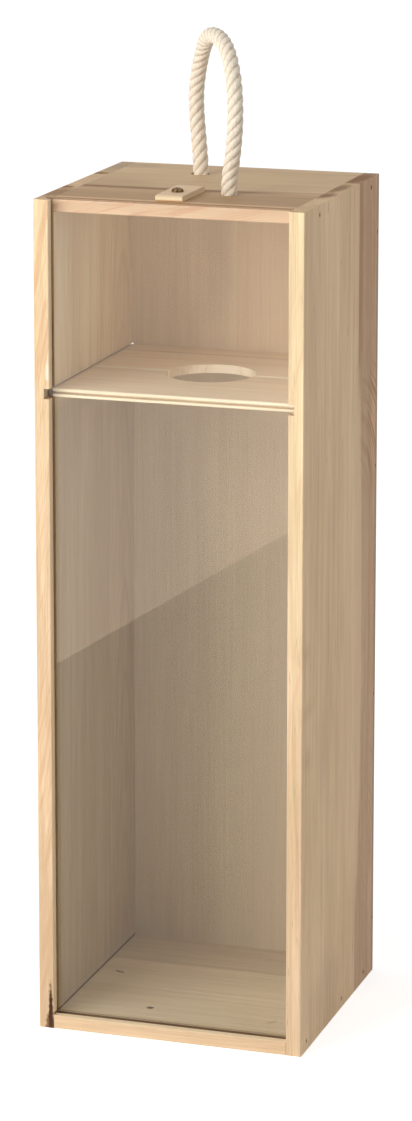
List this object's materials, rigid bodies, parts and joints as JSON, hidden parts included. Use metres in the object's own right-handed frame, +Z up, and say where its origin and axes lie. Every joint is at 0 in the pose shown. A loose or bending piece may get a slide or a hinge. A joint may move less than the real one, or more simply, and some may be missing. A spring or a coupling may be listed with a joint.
{
  "type": "wooden wine box",
  "caption": "Upright pine box for one large wine bottle, with a clear sliding front, a split neck shelf, a wooden turn-button and a rope handle.",
  "frame": {"origin": "middle of the underside of the case", "axes": "+X to the right across the front, +Y from the open front to the back, +Z up"},
  "size_m": [0.14, 0.135, 0.5094],
  "materials": {
    "pine": "planed, unfinished",
    "pale_pine": "planed, unfinished",
    "dark_pine": "planed, unfinished",
    "clear_acrylic": "clear, polished",
    "steel": "bright",
    "cotton_rope": "twisted, undyed"
  },
  "bodies": {
    "case": {"left_side_front_board": "pale_pine", "left_side_rear_board": "pine", "right_side_front_board": "pale_pine", "right_side_rear_board": "dark_pine", "top_front_board": "pine", "top_rear_board": "pine", "bottom_front_board": "pale_pine", "bottom_rear_board": "pine", "back_left_board": "pine", "back_right_board": "dark_pine", "shelf_front_half": "pale_pine", "shelf_rear_half": "pine", "turn_button_screw": "steel", "rope_handle": "cotton_rope", "rope_clamps": "steel", "top_nails": "steel", "bottom_nails": "steel", "back_nails": "steel"},
    "front": {"sliding_front": "clear_acrylic"},
    "button": {"turn_button": "pale_pine"}
  },
  "joints": [
    {"name": "front_slide", "type": "slide", "parent": "case", "child": "front", "axis": [0, 0, 1], "range_m": [0, 0.44]},
    {"name": "button_turn", "type": "hinge", "parent": "case", "child": "button", "pos_m": [-0.0034, -0.0412, 0.4316], "axis": [0, 0, 1], "range_deg": [0, 180]}
  ]
}
